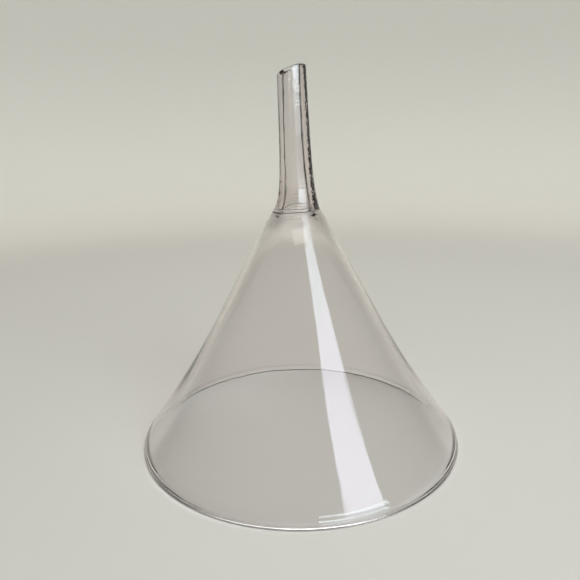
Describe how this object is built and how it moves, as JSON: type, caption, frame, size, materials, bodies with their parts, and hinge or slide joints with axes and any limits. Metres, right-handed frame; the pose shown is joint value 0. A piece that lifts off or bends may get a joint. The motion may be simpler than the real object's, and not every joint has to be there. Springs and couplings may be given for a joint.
{
  "type": "laboratory funnel",
  "caption": "Plain glass laboratory funnel: a wide conical bowl with a flat-ground rim, flame-sealed to a thick-walled tapered stem with a slanted tip.",
  "frame": {"origin": "centre of the rim's ground face, which the funnel stands on upside down", "axes": "+Z along the cone's axis from the rim to the stem's tip; +X towards the high side of the slanted tip; +Y away from the viewer who sees the tip's low side on the left"},
  "size_m": [0.2, 0.2, 0.2258],
  "materials": {
    "bowl_glass": "clear blown glass with a faint lilac tint, smooth and glossy, with faint drawing waves and a flat-ground rim",
    "stem_glass": "clear thick drawn glass with a faint lilac tint, glossy, with lengthwise drawing lines, small seeds and a cut tip"
  },
  "bodies": {
    "root": {"cone": "bowl_glass", "stem": "stem_glass"}
  },
  "joints": []
}
